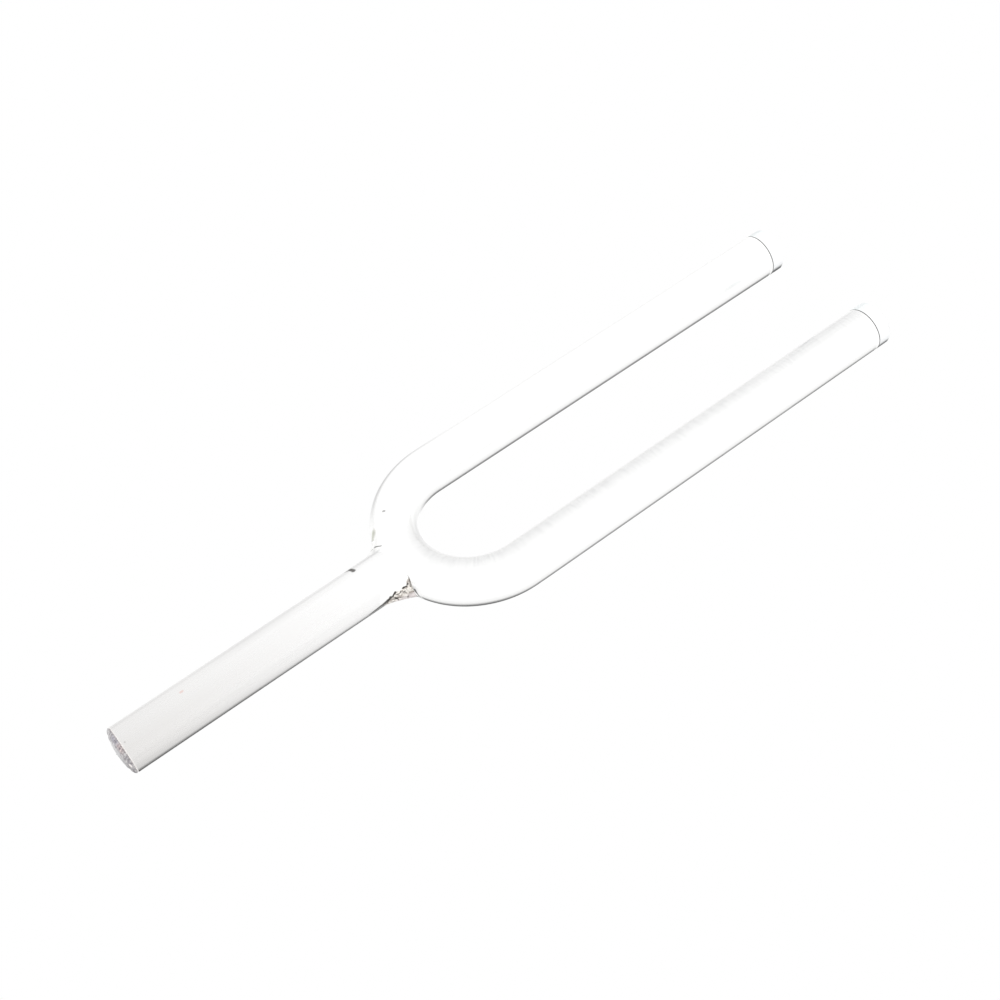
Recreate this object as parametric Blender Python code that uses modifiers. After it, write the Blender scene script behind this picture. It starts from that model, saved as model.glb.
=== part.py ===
"""A tuning fork made of round aluminium tube.

One tube is bent into a U and makes the two tines.  A second length of the same
tube is the stem: its end is coped to the outside of the bend and welded there.
A plug closes each tine tip flush, and a domed plug closes the stem.

The fork lies flat.  +X runs along it towards the tips, +Y across the tines and
+Z up.  The origin is on the ground under the middle of the fork.
"""

import math

import bmesh
import bpy
from mathutils import Matrix, Vector

# Driving dimensions, in metres.
TUBE_DIAMETER = 0.016
TUBE_WALL = 0.0015
TINE_SPACING = 0.052          # centre line to centre line
TINE_REACH = 0.1552           # centre of the bend to the tips
STEM_REACH = 0.1335           # centre of the bend to the crown of the stem plug
TINE_PLUG_HEAD = 0.0050       # length of a tine plug outside the tube
STEM_PLUG_CROWN = 0.0021      # height of the stem plug's dome
PLUG_SPIGOT = 0.009           # length of a plug inside the tube
WELD_ROOT = 0.002             # weld metal between the coped stem and the bend
WELD_LEFT_LEGS = (0.0075, 0.0050)     # reach along the stem and along the bend, +Y side
WELD_RIGHT_LEGS = (0.0100, 0.0065)    # the same on the -Y side, where more metal was laid
WELD_FULLNESS = 0.4           # 0 is a deep hollow between the legs, 1 is flat
TINE_EDGE_BREAK = 0.0008      # chamfer round the outside of each tine tube's end
STEM_EDGE_BREAK = 0.0003      # the same on the stem tube
PLUG_EDGE = 0.0004            # small chamfer on the plugs' outer edges
FIT_GAP = 0.0003              # clearance between neighbouring pieces

# Mesh fineness.
ROUND_SEGMENTS = 40
BEND_SEGMENTS = 32
CUTTER_SEGMENTS = 96
WELD_LEVELS = 24
WELD_ARC_POINTS = 9
DOME_POINTS = 8

# Derived sizes.
TUBE_RADIUS = TUBE_DIAMETER / 2
BORE_RADIUS = TUBE_RADIUS - TUBE_WALL
SPIGOT_RADIUS = BORE_RADIUS - FIT_GAP
BEND_RADIUS = TINE_SPACING / 2
TIP_X = (TINE_REACH + STEM_REACH) / 2
BEND_X = TIP_X - TINE_REACH
AXIS_HEIGHT = TUBE_RADIUS
BEND_CENTRE = Vector((BEND_X, 0.0, AXIS_HEIGHT))
TINE_TUBE_END_X = TIP_X - TINE_PLUG_HEAD - FIT_GAP
STEM_TUBE_END_X = BEND_X - STEM_REACH + STEM_PLUG_CROWN + FIT_GAP
COLLECTION_NAME = "tuning_fork"
MERGE_DISTANCE = 0.00001


def clear_scene():
    for obj in list(bpy.data.objects):
        bpy.data.objects.remove(obj, do_unlink=True)


def new_collection(name):
    collection = bpy.data.collections.new(name)
    bpy.context.scene.collection.children.link(collection)
    return collection


def metal(name, colour, roughness):
    material = bpy.data.materials.new(name)
    material.use_nodes = True
    shader = material.node_tree.nodes["Principled BSDF"]
    shader.inputs["Base Color"].default_value = (*colour, 1.0)
    shader.inputs["Roughness"].default_value = roughness
    shader.inputs["Metallic"].default_value = 1.0
    return material


def add_object(name, data, collection, material=None):
    obj = bpy.data.objects.new(name, data)
    collection.objects.link(obj)
    if material is not None:
        data.materials.append(material)
    return obj


def shade_round(mesh):
    mesh.shade_smooth()
    mesh.set_sharp_from_angle(angle=math.radians(40))


def mesh_from(name, bm):
    mesh = bpy.data.meshes.new(name)
    bm.to_mesh(mesh)
    bm.free()
    shade_round(mesh)
    return mesh


def add_wall(obj):
    """Thicken an open tube surface inwards to the tube's wall."""
    wall = obj.modifiers.new("wall", "SOLIDIFY")
    wall.thickness = TUBE_WALL
    wall.offset = -1.0
    wall.use_even_offset = True
    wall.use_rim = True


def bake_modifiers(obj):
    """Give the object its evaluated mesh and clear its modifiers."""
    evaluated = obj.evaluated_get(bpy.context.evaluated_depsgraph_get())
    mesh = bpy.data.meshes.new_from_object(evaluated)
    obj.modifiers.clear()
    obj.data = mesh


def chamfer_rim(obj, end_x, axis_y, width):
    """Chamfer the outside edge of a tube that ends square at end_x."""
    bm = bmesh.new()
    bm.from_mesh(obj.data)
    tolerance = TUBE_WALL / 4

    def on_rim(vert):
        reach = math.hypot(vert.co.y - axis_y, vert.co.z - AXIS_HEIGHT)
        return abs(vert.co.x - end_x) < tolerance and abs(reach - TUBE_RADIUS) < tolerance

    rim = [edge for edge in bm.edges if all(on_rim(vert) for vert in edge.verts)]
    bmesh.ops.bevel(bm, geom=rim, offset=width, segments=1, affect="EDGES")
    bm.to_mesh(obj.data)
    bm.free()
    shade_round(obj.data)


def cut_with(obj, cutter):
    cut = obj.modifiers.new(cutter.name, "BOOLEAN")
    cut.operation = "DIFFERENCE"
    cut.solver = "EXACT"
    cut.object = cutter


def hide_guide(obj):
    obj.hide_render = True
    obj.display_type = "WIRE"


def fork_path(curve):
    """The U-shaped centre line: tine, half-circle bend, tine."""
    points = [Vector((TINE_TUBE_END_X, BEND_RADIUS, AXIS_HEIGHT))]
    for step in range(BEND_SEGMENTS + 1):
        angle = math.pi / 2 + math.pi * step / BEND_SEGMENTS
        arm = Vector((math.cos(angle), math.sin(angle), 0.0)) * BEND_RADIUS
        points.append(BEND_CENTRE + arm)
    points.append(Vector((TINE_TUBE_END_X, -BEND_RADIUS, AXIS_HEIGHT)))
    spline = curve.splines.new("POLY")
    spline.points.add(len(points) - 1)
    for spline_point, point in zip(spline.points, points):
        spline_point.co = (*point, 1.0)


def make_fork_tube(collection):
    """The two tines and the bend, one length of tube."""
    curve = bpy.data.curves.new("fork_path", "CURVE")
    curve.dimensions = "3D"
    curve.bevel_depth = TUBE_RADIUS
    curve.bevel_resolution = (ROUND_SEGMENTS - 4) // 2
    curve.use_fill_caps = False
    fork_path(curve)
    guide = add_object("fork_path", curve, collection)
    bpy.context.view_layer.update()
    evaluated = guide.evaluated_get(bpy.context.evaluated_depsgraph_get())
    mesh = bpy.data.meshes.new_from_object(evaluated)
    mesh.name = "fork_tube"
    shade_round(mesh)
    tube = add_object("fork_tube", mesh, collection, metal("fork_aluminium", (0.90, 0.90, 0.89), 0.22))
    tube.matrix_world = guide.matrix_world
    bpy.data.objects.remove(guide, do_unlink=True)
    add_wall(tube)
    bake_modifiers(tube)
    for side in (1.0, -1.0):
        chamfer_rim(tube, TINE_TUBE_END_X, side * BEND_RADIUS, TINE_EDGE_BREAK)


def make_bend_cutter(name, radius, collection):
    """A solid ring along the bend's centre line."""
    bpy.ops.mesh.primitive_torus_add(
        major_radius=BEND_RADIUS,
        minor_radius=radius,
        major_segments=CUTTER_SEGMENTS,
        minor_segments=ROUND_SEGMENTS,
        location=BEND_CENTRE,
    )
    cutter = bpy.context.object
    cutter.name = name
    for owner in list(cutter.users_collection):
        owner.objects.unlink(cutter)
    collection.objects.link(cutter)
    hide_guide(cutter)
    return cutter


def stem_cylinder(name, radius, start_x, end_x, capped):
    """A round bar or an open tube surface along the stem's centre line."""
    bm = bmesh.new()
    bmesh.ops.create_cone(
        bm,
        cap_ends=capped,
        segments=ROUND_SEGMENTS,
        radius1=radius,
        radius2=radius,
        depth=end_x - start_x,
    )
    to_stem = Matrix.Translation(((start_x + end_x) / 2, 0.0, AXIS_HEIGHT))
    bmesh.ops.transform(bm, matrix=to_stem @ Matrix.Rotation(math.pi / 2, 4, "Y"), verts=bm.verts)
    return mesh_from(name, bm)


def make_stem_tube(collection, cope_cutter):
    """The stem, a straight tube coped to the outside of the bend."""
    mesh = stem_cylinder("stem_tube", TUBE_RADIUS, STEM_TUBE_END_X, BEND_X - BEND_RADIUS, False)
    tube = add_object("stem_tube", mesh, collection, metal("stem_aluminium", (0.84, 0.84, 0.83), 0.32))
    add_wall(tube)
    bake_modifiers(tube)
    chamfer_rim(tube, STEM_TUBE_END_X, 0.0, STEM_EDGE_BREAK)
    cut_with(tube, cope_cutter)


def weld_outline(height_angle, legs):
    """One level of one side of the weld blank, from the stem round to the bend.

    At this height the stem is a strip and the bend a ring, which meet in a corner.
    A hollow curve joins a toe on the stem to a toe on the bend, and both come back
    to the corner at the top and the bottom of the joint.
    """
    half_width = TUBE_RADIUS * math.cos(height_angle)
    ring = BEND_RADIUS + half_width
    reach = math.cos(height_angle) ** 2
    corner = Vector((-math.sqrt(ring ** 2 - half_width ** 2), half_width))
    stem_leg, bend_leg = legs
    stem_toe = corner - Vector((stem_leg * reach, 0.0))
    bend_angle = math.atan2(corner.y, corner.x) - bend_leg * reach / ring
    bend_toe = Vector((math.cos(bend_angle), math.sin(bend_angle))) * ring
    pull = corner.lerp((stem_toe + bend_toe) / 2, WELD_FULLNESS)
    points = [stem_toe - Vector((TUBE_RADIUS / 2, 0.0))]
    for step in range(WELD_ARC_POINTS):
        share = step / (WELD_ARC_POINTS - 1)
        to_pull = stem_toe.lerp(pull, share)
        from_pull = pull.lerp(bend_toe, share)
        points.append(to_pull.lerp(from_pull, share))
    points.append(Vector((-BEND_RADIUS, half_width)))
    return points


def make_weld_blank(name):
    """The weld's outer shape, still filling the stem and the bend beside it."""
    bm = bmesh.new()
    levels = []
    for level in range(WELD_LEVELS + 1):
        height_angle = math.pi * (level / WELD_LEVELS - 0.5)
        height = AXIS_HEIGHT + TUBE_RADIUS * math.sin(height_angle)
        left = weld_outline(height_angle, WELD_LEFT_LEGS)
        right = weld_outline(height_angle, WELD_RIGHT_LEGS)
        loop = left + [(x, -y) for x, y in reversed(right)]
        levels.append([bm.verts.new((BEND_X + x, y, height)) for x, y in loop])
    for lower, upper in zip(levels, levels[1:]):
        for index in range(len(lower)):
            following = (index + 1) % len(lower)
            bm.faces.new((lower[index], upper[index], upper[following], lower[following]))
    bmesh.ops.remove_doubles(bm, verts=bm.verts, dist=MERGE_DISTANCE)
    bmesh.ops.dissolve_degenerate(bm, edges=bm.edges, dist=MERGE_DISTANCE)
    bmesh.ops.recalc_face_normals(bm, faces=bm.faces)
    return mesh_from(name, bm)


def make_weld(collection, cutters):
    """The weld bead, filling the root and the two hollow corners beside the stem."""
    material = metal("weld_aluminium", (0.62, 0.60, 0.57), 0.5)
    weld = add_object("weld_bead", make_weld_blank("weld_bead"), collection, material)
    for cutter in cutters:
        cut_with(weld, cutter)


def turned_plug(name, outline, collection, material):
    """A turned piece; the outline gives (radius, height) from its top to its foot."""
    bm = bmesh.new()
    verts = [bm.verts.new((radius, 0.0, height)) for radius, height in outline]
    for upper, lower in zip(verts, verts[1:]):
        bm.edges.new((upper, lower))
    mesh = bpy.data.meshes.new(name)
    bm.to_mesh(mesh)
    bm.free()
    plug = add_object(name, mesh, collection, material)
    turn = plug.modifiers.new("turn", "SCREW")
    turn.steps = ROUND_SEGMENTS
    turn.render_steps = ROUND_SEGMENTS
    turn.use_merge_vertices = True
    turn.merge_threshold = MERGE_DISTANCE
    turn.use_smooth_shade = True
    return plug


def spigot_outline(shoulder_height):
    """The part of a plug inside the tube, from the head's shoulder to the axis."""
    foot = shoulder_height - PLUG_SPIGOT
    return [
        (TUBE_RADIUS, shoulder_height),
        (SPIGOT_RADIUS, shoulder_height),
        (SPIGOT_RADIUS, foot + PLUG_EDGE),
        (SPIGOT_RADIUS - PLUG_EDGE, foot),
        (0.0, foot),
    ]


def make_tine_plug(name, side, collection, material):
    """A flush plug with a flat end, its top at the tine's tip."""
    head = [
        (0.0, 0.0),
        (TUBE_RADIUS - PLUG_EDGE, 0.0),
        (TUBE_RADIUS, -PLUG_EDGE),
    ]
    plug = turned_plug(name, head + spigot_outline(-TINE_PLUG_HEAD), collection, material)
    plug.location = (TIP_X, side * BEND_RADIUS, AXIS_HEIGHT)
    plug.rotation_euler = (0.0, math.pi / 2, 0.0)


def make_stem_plug(collection, material):
    """The plug with a low elliptical dome that closes the stem."""
    dome = []
    for step in range(DOME_POINTS):
        angle = math.pi / 2 * step / DOME_POINTS
        dome.append((TUBE_RADIUS * math.sin(angle), STEM_PLUG_CROWN * (math.cos(angle) - 1.0)))
    plug = turned_plug("stem_plug", dome + spigot_outline(-STEM_PLUG_CROWN), collection, material)
    plug.location = (BEND_X - STEM_REACH, 0.0, AXIS_HEIGHT)
    plug.rotation_euler = (0.0, -math.pi / 2, 0.0)


def build():
    clear_scene()
    parts = new_collection(COLLECTION_NAME)
    guides = new_collection("cutters")

    cope_cutter = make_bend_cutter("cope_cutter", TUBE_RADIUS + WELD_ROOT, guides)
    bend_cutter = make_bend_cutter("bend_clearance", TUBE_RADIUS + FIT_GAP, guides)
    weld_start_x = BEND_X - 2 * BEND_RADIUS
    stem_mesh = stem_cylinder(
        "stem_clearance", TUBE_RADIUS + FIT_GAP, weld_start_x, BEND_X - BEND_RADIUS, True
    )
    stem_cutter = add_object("stem_clearance", stem_mesh, guides)
    hide_guide(stem_cutter)
    face_cutter = make_bend_cutter("weld_face", TUBE_RADIUS + WELD_ROOT - FIT_GAP, guides)
    cut_with(stem_cutter, face_cutter)
    bore_mesh = stem_cylinder("weld_bore", BORE_RADIUS, weld_start_x, BEND_X, True)
    bore_cutter = add_object("weld_bore", bore_mesh, guides)
    hide_guide(bore_cutter)

    make_fork_tube(parts)
    make_stem_tube(parts, cope_cutter)
    make_weld(parts, (bend_cutter, stem_cutter, bore_cutter))
    tip_metal = metal("tip_aluminium", (0.86, 0.88, 0.90), 0.25)
    make_tine_plug("tine_plug_left", 1.0, parts, tip_metal)
    make_tine_plug("tine_plug_right", -1.0, parts, tip_metal)
    make_stem_plug(parts, metal("stem_plug_aluminium", (0.55, 0.54, 0.54), 0.4))


build()
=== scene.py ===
"""Looks of the tuning fork: bright drawn aluminium tube on a pale studio floor.

Every piece is rebuilt finer than its CAD solid, at the place and size the frame
gives, and carries a point attribute "metal_co": its place along, across and
through the straightened metal.  The materials read it, so that draw lines
follow the tube round the bend.
"""

import math
import random

import bpy
import numpy as np
from mathutils import Matrix, Vector, noise


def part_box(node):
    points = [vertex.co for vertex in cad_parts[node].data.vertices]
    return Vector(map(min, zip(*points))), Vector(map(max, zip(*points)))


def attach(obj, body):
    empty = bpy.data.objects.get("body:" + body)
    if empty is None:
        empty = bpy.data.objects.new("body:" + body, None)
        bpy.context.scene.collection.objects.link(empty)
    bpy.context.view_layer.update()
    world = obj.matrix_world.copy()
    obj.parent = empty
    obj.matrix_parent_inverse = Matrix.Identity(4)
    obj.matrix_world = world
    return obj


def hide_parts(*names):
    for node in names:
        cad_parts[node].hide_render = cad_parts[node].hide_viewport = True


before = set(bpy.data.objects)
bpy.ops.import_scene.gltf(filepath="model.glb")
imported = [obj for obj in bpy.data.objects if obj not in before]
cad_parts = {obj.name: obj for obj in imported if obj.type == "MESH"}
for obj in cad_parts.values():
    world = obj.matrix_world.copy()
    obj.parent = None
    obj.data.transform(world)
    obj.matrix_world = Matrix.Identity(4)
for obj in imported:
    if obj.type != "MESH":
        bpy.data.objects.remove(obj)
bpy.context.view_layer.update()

# Sizes worked out from the frame, in metres.
FORK_LOW, FORK_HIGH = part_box("fork_tube")
STEM_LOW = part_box("stem_tube")[0]
TIP_LOW, TIP_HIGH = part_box("tine_plug_left")
FOOT_LOW, FOOT_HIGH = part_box("stem_plug")
TUBE_RADIUS = (FORK_HIGH.z - FORK_LOW.z) / 2
BEND_RADIUS = FORK_HIGH.y - TUBE_RADIUS
BEND_X = FORK_LOW.x + TUBE_RADIUS + BEND_RADIUS
JOINT_X = BEND_X - BEND_RADIUS
AXIS_HEIGHT = (FORK_HIGH.z + FORK_LOW.z) / 2
TINE_END_X = FORK_HIGH.x
STEM_END_X = STEM_LOW.x
TIP_X = TIP_HIGH.x
FOOT_X = FOOT_LOW.x
TINE_LENGTH = TINE_END_X - BEND_X
BEND_LENGTH = math.pi * BEND_RADIUS
FORK_LENGTH = 2 * TINE_LENGTH + BEND_LENGTH

# Sizes of details, in metres.
WALL = 0.0015
TINE_CHAMFER = (0.0004, 0.00001)
STEM_CHAMFER = (0.0004, 0.0004)
COPED_END = (0.0002, 0.0)
PLUG_CHAMFER = 0.0004
PLUG_BREAK = 0.00001
FIT_GAP = 0.0003
FACING_STEP = 0.00042
STEM_PLUG_CROWN = 0.0021
WELD_ROOT = 0.002
TINE_GAP = 0.00003
JOINT_LINE = (0.00024, 0.00036)
STEM_GAP = 0.00002
BEND_OVALITY = 0.012
OUTER_FLAT = 0.00035
OUTER_FLAT_STATION = 0.2175
OUTER_FLAT_SPREAD = 0.011

# Small dents on the fork's upper side.  Their angle is in radians up from outward.
DENT_COUNT = 6
DENT_DEPTH = 0.00006
DENT_WIDTHS = (0.0010, 0.0015)
DENT_ANGLES = (0.4, 2.4)
DENTS_FROM_END = 0.02

# Where the blemishes and a painted undercut shade are: along the fork from the +Y tine's end, or at an
# x of the stem.
DOT_STATION = 0.1751
OLIVE_SPOT_STATION = 0.1800
UNDERCUT_SHADE_STATION = 0.2001
SCALE_STATION = 0.2005
BLOB_X = -0.0546
FLECK_X = -0.1192

# The tinted rim of the stem plug: a share of the tube's radius, and how far past the stem.
FOOT_RIM_REACH = 0.93
FOOT_RIM_PAST = 0.0008

# The painted shade inside the bend and on the -Y tine: where it starts, and how far on it has widened
# and has its full strength.
INNER_SHADE_STATION = 0.1662
INNER_SHADE_RISE = 0.024
INNER_SHADE_WIDENS = (0.009, 0.036)
# Where along x the painted shade on the stem's +Y side fades in.
STEM_FAR_SHADE_X = (-0.115, -0.095)

# How far from the joint the stem's painted shade towards the foot ends, and how far in the fork's cut
# ends are dull.
FOOT_SHADE_FROM_JOINT = 0.012
CUT_EDGE = 0.0011

# Points round a tube, the distance between its rings, and the angle of a sharp edge.
AROUND = 96
RING_STEP = 0.0009
SHARP_ANGLE = math.radians(35)


# ---------------------------------------------------------------- mesh helpers

def grid_piece(name, points, metal_co, replaces, material):
    """A closed piece from a grid of points, wrapped both ways like a bent tube.

    points and metal_co are arrays of rows x columns x 3; the last row joins the
    first, and the last column the first.
    """
    rows, columns = points.shape[:2]
    index = np.arange(rows * columns).reshape(rows, columns)
    next_row = np.roll(index, -1, axis=0)
    next_column = np.roll(index, -1, axis=1)
    corner = np.roll(next_row, -1, axis=1)
    faces = np.stack([index, next_column, corner, next_row], axis=-1).reshape(-1, 4)
    mesh = bpy.data.meshes.new(name)
    mesh.from_pydata(points.reshape(-1, 3).tolist(), [], faces.tolist())
    return finish_piece(name, mesh, metal_co.reshape(-1, 3), replaces, material)


def capped_piece(name, points, metal_co, replaces, material):
    """A closed piece from rows of points round an axis, capped at both ends by a point.

    The first and the last row hold one point repeated.
    """
    rows, columns = points.shape[:2]
    body = points[1:-1]
    verts = np.concatenate([points[:1, 0], body.reshape(-1, 3), points[-1:, 0]])
    coords = np.concatenate([metal_co[:1, 0], metal_co[1:-1].reshape(-1, 3), metal_co[-1:, 0]])
    index = 1 + np.arange((rows - 2) * columns).reshape(rows - 2, columns)
    turned = np.roll(index, -1, axis=1)
    faces = np.stack([index[:-1], turned[:-1], turned[1:], index[1:]], axis=-1).reshape(-1, 4).tolist()
    last = len(verts) - 1
    faces += [(0, int(b), int(a)) for a, b in zip(index[0], turned[0])]
    faces += [(last, int(a), int(b)) for a, b in zip(index[-1], turned[-1])]
    mesh = bpy.data.meshes.new(name)
    mesh.from_pydata(verts.tolist(), [], faces)
    return finish_piece(name, mesh, coords, replaces, material)


def finish_piece(name, mesh, metal_co, replaces, material):
    write_vectors(mesh, "metal_co", metal_co)
    mesh.validate()
    if mesh_volume(mesh) < 0:
        mesh.flip_normals()
    mesh.shade_smooth()
    mesh.set_sharp_from_angle(angle=SHARP_ANGLE)
    mesh.materials.append(material)
    piece = bpy.data.objects.new(name, mesh)
    bpy.context.scene.collection.objects.link(piece)
    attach(piece, "root")
    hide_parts(replaces)
    return piece


def write_vectors(mesh, name, vectors):
    attribute = mesh.attributes.new(name, "FLOAT_VECTOR", "POINT")
    attribute.data.foreach_set("vector", vectors.astype(np.float32).ravel())


def mesh_volume(mesh):
    mesh.calc_loop_triangles()
    total = 0.0
    for triangle in mesh.loop_triangles:
        a, b, c = (mesh.vertices[index].co for index in triangle.vertices)
        total += a.dot(b.cross(c)) / 6
    return total


def smooth_step(low, high, value):
    share = np.clip((value - low) / (high - low), 0.0, 1.0)
    return share * share * (3 - 2 * share)


def circle(count=AROUND):
    """Angles round a section, and their cosines and sines."""
    angle = np.linspace(0.0, 2 * math.pi, count, endpoint=False)
    return angle, np.cos(angle), np.sin(angle)


# ---------------------------------------------------------------- tubes

def tube_section(start_chamfer, end_chamfer, length):
    """Stations along a tube's wall and its radius there: outside, then back inside.

    A chamfer is its length along the tube and its depth.
    """
    run = length - start_chamfer[0] - end_chamfer[0]
    outside = np.linspace(start_chamfer[0], length - end_chamfer[0], max(2, round(run / RING_STEP)) + 1)
    inside = np.linspace(length, 0.0, max(2, len(outside) // 6))
    stations = [0.0] + outside.tolist() + [length] + inside.tolist()
    radii = [TUBE_RADIUS - start_chamfer[1]] + [TUBE_RADIUS] * len(outside)
    radii += [TUBE_RADIUS - end_chamfer[1]] + [TUBE_RADIUS - WALL] * len(inside)
    return np.array(stations), np.array(radii)


def fork_centre_line(station):
    """Centre and outward direction of the section at this distance from the +Y tine's end."""
    if station <= TINE_LENGTH:
        return Vector((TINE_END_X - station, BEND_RADIUS, AXIS_HEIGHT)), Vector((0.0, 1.0, 0.0))
    if station >= TINE_LENGTH + BEND_LENGTH:
        x = BEND_X + station - TINE_LENGTH - BEND_LENGTH
        return Vector((x, -BEND_RADIUS, AXIS_HEIGHT)), Vector((0.0, -1.0, 0.0))
    angle = math.pi / 2 + (station - TINE_LENGTH) / BEND_RADIUS
    outward = Vector((math.cos(angle), math.sin(angle), 0.0))
    return Vector((BEND_X, 0.0, AXIS_HEIGHT)) + outward * BEND_RADIUS, outward


def fork_point(station, around):
    """A point on the fork's skin: distance from the +Y tine's end, angle up from outward."""
    centre, outward = fork_centre_line(station)
    turn = math.radians(around)
    lift = Vector((0.0, 0.0, math.sin(turn)))
    return centre + (outward * math.cos(turn) + lift) * TUBE_RADIUS


def stem_point(x, around):
    """A point on the stem's skin: x, angle up from +Y."""
    turn = math.radians(around)
    return Vector((x, math.cos(turn) * TUBE_RADIUS, AXIS_HEIGHT + math.sin(turn) * TUBE_RADIUS))


def foot_rim_point(around):
    """A point near the rim of the stem plug's dome: angle up from +Y."""
    turn = math.radians(around)
    reach = FOOT_RIM_REACH * TUBE_RADIUS
    x = STEM_END_X - FOOT_RIM_PAST
    return Vector((x, math.cos(turn) * reach, AXIS_HEIGHT + math.sin(turn) * reach))


def random_dents():
    """Small dents on the upper side: distance along the fork, angle round it, width."""
    dice = random.Random(5)
    reach = (DENTS_FROM_END, FORK_LENGTH - DENTS_FROM_END)
    return [
        (dice.uniform(*reach), dice.uniform(*DENT_ANGLES), dice.uniform(*DENT_WIDTHS))
        for _ in range(DENT_COUNT)
    ]


def dent_depth(stations, angles, dents):
    """Depth of the dents at each station and angle, as rows x columns."""
    depth = np.zeros((len(stations), len(angles)))
    for along, around, width in dents:
        turn = np.abs((angles - around + math.pi) % (2 * math.pi) - math.pi)
        distance = np.hypot((stations - along)[:, None], (turn * TUBE_RADIUS)[None, :])
        depth += DENT_DEPTH * np.exp(-((distance / width) ** 2))
    return depth


def bend_flattening(stations):
    """A bent tube goes slightly oval: 1 in the middle of the bend, 0 on the tines."""
    share = np.clip((stations - TINE_LENGTH) / BEND_LENGTH, 0.0, 1.0)
    return np.sin(math.pi * share) ** 0.5 * (share > 0) * (share < 1)


def make_fork_tube(material):
    """Both tines and the bend, with a slightly oval section round the bend."""
    stations, radii = tube_section(TINE_CHAMFER, TINE_CHAMFER, FORK_LENGTH)
    angles, cosines, sines = circle()
    oval = 1.0 - BEND_OVALITY * bend_flattening(stations)
    flat = OUTER_FLAT * np.exp(-(((stations - OUTER_FLAT_STATION) / OUTER_FLAT_SPREAD) ** 2))
    outside = (radii > TUBE_RADIUS - WALL / 2)[:, None]
    depth = dent_depth(stations, angles, random_dents()) * outside
    points = np.zeros((len(stations), AROUND, 3))
    metal_co = np.zeros_like(points)
    up = Vector((0.0, 0.0, 1.0))
    for row, (station, radius) in enumerate(zip(stations, radii)):
        centre, outward = fork_centre_line(station)
        out_reach = (radius - depth[row]) * cosines * oval[row] - flat[row] * cosines.clip(0, None)
        up_reach = (radius - depth[row]) * sines
        points[row] = np.array(centre) + np.outer(out_reach, outward) + np.outer(up_reach, up)
        metal_co[row, :, 0] = station
        metal_co[row, :, 1] = radius * cosines
        metal_co[row, :, 2] = radius * sines
    return grid_piece("fork_tube_skin", points, metal_co, "fork_tube", material)


def cope_x(cosines, sines, clearance):
    """X of the coped edge of the stem, at a radius of one tube and this clearance to the bend."""
    reach = TUBE_RADIUS + clearance
    ring = BEND_RADIUS + np.sqrt(reach ** 2 - (TUBE_RADIUS * sines) ** 2)
    return BEND_X - np.sqrt(ring ** 2 - (TUBE_RADIUS * cosines) ** 2)


def make_stem_tube(material):
    """The stem: straight, chamfered at the foot and coped to the bend at the other end."""
    cosines, sines = circle()[1:]
    end = cope_x(cosines, sines, WELD_ROOT)
    length = end.max() - STEM_END_X
    stations, radii = tube_section(STEM_CHAMFER, COPED_END, length)
    share = stations / length
    points = np.zeros((len(stations), AROUND, 3))
    for row, (part, radius) in enumerate(zip(share, radii)):
        points[row, :, 0] = STEM_END_X + (end - STEM_END_X) * part
        points[row, :, 1] = radius * cosines
        points[row, :, 2] = AXIS_HEIGHT + radius * sines
    metal_co = points - np.array([0.0, 0.0, AXIS_HEIGHT])
    return grid_piece("stem_tube_skin", points, metal_co, "stem_tube", material)


# ---------------------------------------------------------------- weld

WELD_ACROSS = 60
WELD_BACK = 8
WELD_ROUND = 360
WELD_SUNK = 0.00005
WELD_THICK = 0.0009
WELD_OVERLAP = 0.0006
WELD_LEAN = 0.55

# Pairs are the -Y flank and the +Y one.  A leg is longest at the side and shortens to
# nothing above and below, by its power; the pull draws the blend into the corner.
WELD_STEM_LEGS = (0.0098, 0.0070)
WELD_BEND_LEGS = (0.0036, 0.0050)
STEM_LEG_POWER = 1.6
BEND_LEG_POWER = 1.4
WELD_PULLS = (0.15, 0.50)
FULLER_BELOW = 0.5

CREVICE_DEPTH = 0.00030
CREVICE_WIDTH = 0.12
CREVICE_SEED = Vector((5.1, 2.7, 8.3))
LUMP_HEIGHT = 0.00014
EDGE_WAVER = 0.0005

# Upper edge of the raw part: its height between two places along x, its rise over the
# stretch between them and past it, and how it draws back to the side near the second.
ROUGH_EDGE_Z = 0.0102
ROUGH_STEM_X = -0.0480
ROUGH_BEND_X = -0.0440
ROUGH_RISE = 0.2
ROUGH_RISE_BEYOND = 1.3
ROUGH_DRAWN_BACK = 0.14
ROUGH_DRAWN_FROM = 0.0025


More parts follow.
